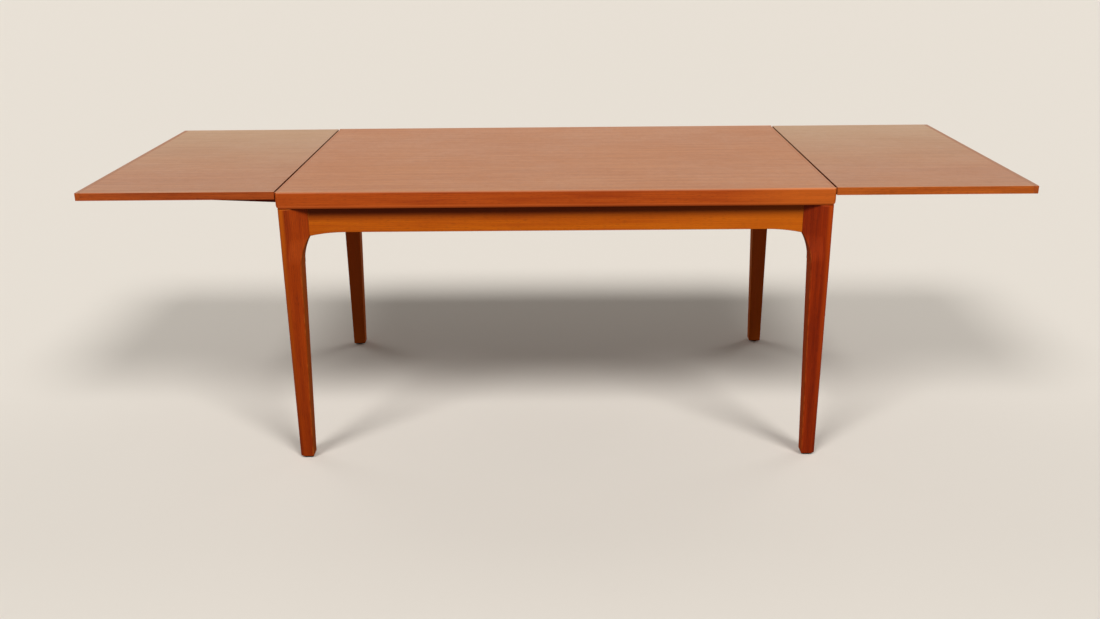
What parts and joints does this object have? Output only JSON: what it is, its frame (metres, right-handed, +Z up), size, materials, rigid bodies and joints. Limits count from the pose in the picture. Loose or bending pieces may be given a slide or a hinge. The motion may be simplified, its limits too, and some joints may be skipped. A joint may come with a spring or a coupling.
{
  "type": "draw leaf table",
  "caption": "Draw leaf dining table in teak: tapered legs with bracket ears, slim aprons, a lift-off top with deep lips, and end leaves that slide out on tapered runners.",
  "frame": {"origin": "centre of the footprint at floor level", "axes": "+X along the table towards the right leaf, +Y towards its back, +Z up"},
  "size_m": [2.406, 0.9, 0.736],
  "materials": {
    "top_veneer": "satin lacquered teak veneer",
    "teak_edge": "satin lacquered solid teak",
    "leg_teak": "satin lacquered solid teak, red-brown",
    "apron_teak": "satin lacquered solid teak, golden",
    "beech": "waxed beech",
    "beech_board": "satin veneered board",
    "screw_steel": "zinc plated",
    "felt": "wool felt",
    "glide_plastic": "matte"
  },
  "bodies": {
    "frame": {"apron_front": "apron_teak", "apron_back": "apron_teak", "end_rail_left": "apron_teak", "end_rail_right": "apron_teak", "cross_bearer_left": "beech", "cross_bearer_right": "beech", "centre_board": "beech_board", "centre_board_screws": "screw_steel", "corner_block_screws": "screw_steel", "rest_pads": "felt", "foot_glides": "glide_plastic", "leg_front_left": "leg_teak", "leg_front_right": "leg_teak", "leg_back_left": "leg_teak", "leg_back_right": "leg_teak", "corner_block_front_left": "beech", "corner_block_front_right": "beech", "corner_block_back_left": "beech", "corner_block_back_right": "beech"},
    "top": {"top_board": "top_veneer", "top_lip_front": "teak_edge", "top_lip_back": "teak_edge", "top_end_band_left": "teak_edge", "top_end_band_right": "teak_edge", "guide_dowels": "beech"},
    "leaf_left": {"leaf_board_left": "top_veneer", "leaf_front_lipping_left": "teak_edge", "leaf_back_lipping_left": "teak_edge", "leaf_end_lipping_left": "teak_edge", "runner_front_left": "beech", "runner_back_left": "beech", "runner_screws_left": "screw_steel", "stop_pegs_left": "beech"},
    "leaf_right": {"leaf_board_right": "top_veneer", "leaf_front_lipping_right": "teak_edge", "leaf_back_lipping_right": "teak_edge", "leaf_end_lipping_right": "teak_edge", "runner_front_right": "beech", "runner_back_right": "beech", "runner_screws_right": "screw_steel", "stop_pegs_right": "beech"}
  },
  "joints": [
    {"name": "top_lift", "type": "slide", "parent": "frame", "child": "top", "axis": [0, 0, 1], "range_m": [0, 0.25]},
    {"name": "leaf_right_slide", "type": "slide", "parent": "frame", "child": "leaf_right", "axis": [-0.999, 0, -0.0437], "range_m": [0, 0.50348]},
    {"name": "leaf_left_slide", "type": "slide", "parent": "frame", "child": "leaf_left", "axis": [0.999, 0, -0.0437], "range_m": [0, 0.50348]}
  ],
  "couplings": [
    {"joint": "leaf_right_slide", "follows": "top_lift", "ratio": 2.0139},
    {"joint": "leaf_left_slide", "follows": "top_lift", "ratio": 2.0139}
  ]
}
